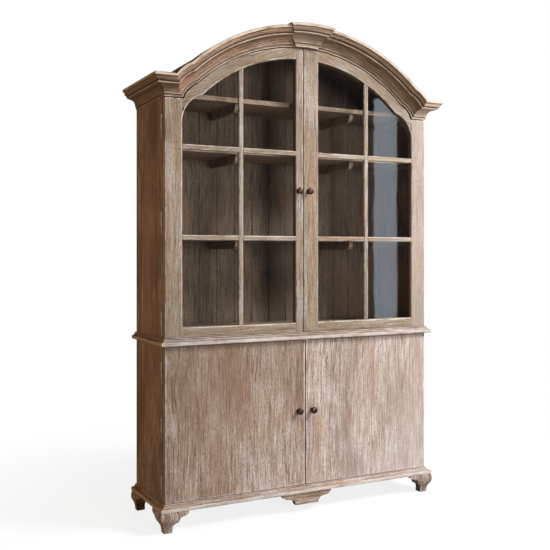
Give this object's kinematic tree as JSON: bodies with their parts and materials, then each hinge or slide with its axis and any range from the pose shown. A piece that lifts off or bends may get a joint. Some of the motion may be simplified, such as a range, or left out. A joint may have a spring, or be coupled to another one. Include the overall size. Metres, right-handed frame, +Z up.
{
  "type": "china cabinet",
  "caption": "Limed oak china cabinet with a closed two-door cupboard below, glazed doors above, and an arched moulded cornice with a keystone, on bracket feet.",
  "frame": {"origin": "on the floor, under the middle of the overall width and depth", "axes": "+X to the right seen from the front, +Y to the back, +Z up; the doors face -Y"},
  "size_m": [1.472, 0.459, 2.185],
  "materials": {
    "limed_oak": "limed, matt",
    "shaded_oak": "thinly limed, matt",
    "cornice_oak": "limed and rubbed, matt",
    "inside_oak": "thinly limed, matt",
    "pane_glass": "clear",
    "knob_bronze": "dark bronze, satin",
    "hinge_metal": "limed over with the case, matt"
  },
  "bodies": {
    "case": {"base_board": "limed_oak", "waist_board": "limed_oak", "base_moulding_front": "limed_oak", "base_moulding_sides": "limed_oak", "waist_moulding_front": "limed_oak", "waist_moulding_sides": "limed_oak", "foot_front_left": "limed_oak", "foot_front_right": "limed_oak", "foot_back_left": "limed_oak", "foot_back_right": "limed_oak", "centre_drop": "limed_oak", "lower_left_side": "shaded_oak", "lower_right_side": "shaded_oak", "upper_left_side": "shaded_oak", "upper_right_side": "shaded_oak", "arched_roof": "shaded_oak", "arch_face_board": "shaded_oak", "cornice_left_arch": "cornice_oak", "cornice_right_arch": "cornice_oak", "cornice_shoulders": "cornice_oak", "cornice_left_ear": "cornice_oak", "cornice_right_ear": "cornice_oak", "cornice_returns": "cornice_oak", "cornice_keystone": "cornice_oak", "lower_back": "inside_oak", "upper_back": "inside_oak", "upper_floor": "inside_oak", "lower_shelf": "inside_oak", "low_shelf": "inside_oak", "middle_shelf": "inside_oak", "high_shelf": "inside_oak", "shelf_cleats": "inside_oak", "shelf_battens": "inside_oak", "door_catches": "inside_oak", "hinge_case_leaves": "hinge_metal", "hinge_pins": "hinge_metal"},
    "upper_left_door": {"upper_left_hinge_stile": "limed_oak", "upper_left_meeting_stile": "limed_oak", "upper_left_bottom_rail": "limed_oak", "upper_left_arched_rail": "limed_oak", "upper_left_glazing_bars": "limed_oak", "upper_left_glazing_beads": "limed_oak", "upper_left_glass": "pane_glass", "upper_left_knob": "knob_bronze", "upper_left_hinge_leaves": "hinge_metal"},
    "lower_left_door": {"lower_left_panel": "limed_oak", "lower_left_knob": "knob_bronze", "lower_left_hinge_leaves": "hinge_metal"},
    "upper_right_door": {"upper_right_hinge_stile": "limed_oak", "upper_right_meeting_stile": "limed_oak", "upper_right_bottom_rail": "limed_oak", "upper_right_arched_rail": "limed_oak", "upper_right_glazing_bars": "limed_oak", "upper_right_glazing_beads": "limed_oak", "upper_right_glass": "pane_glass", "upper_right_knob": "knob_bronze", "upper_right_hinge_leaves": "hinge_metal"},
    "lower_right_door": {"lower_right_panel": "limed_oak", "lower_right_knob": "knob_bronze", "lower_right_hinge_leaves": "hinge_metal"}
  },
  "joints": [
    {"name": "lower_left_door_hinge", "type": "hinge", "parent": "case", "child": "lower_left_door", "pos_m": [-0.6744, -0.12, 0.4475], "axis": [0, 0, -1], "range_deg": [0, 170]},
    {"name": "lower_right_door_hinge", "type": "hinge", "parent": "case", "child": "lower_right_door", "pos_m": [0.6744, -0.12, 0.4475], "axis": [0, 0, 1], "range_deg": [0, 170]},
    {"name": "upper_left_door_hinge", "type": "hinge", "parent": "case", "child": "upper_left_door", "pos_m": [-0.6744, -0.12, 1.308], "axis": [0, 0, -1], "range_deg": [0, 170]},
    {"name": "upper_right_door_hinge", "type": "hinge", "parent": "case", "child": "upper_right_door", "pos_m": [0.6744, -0.12, 1.308], "axis": [0, 0, 1], "range_deg": [0, 170]}
  ]
}
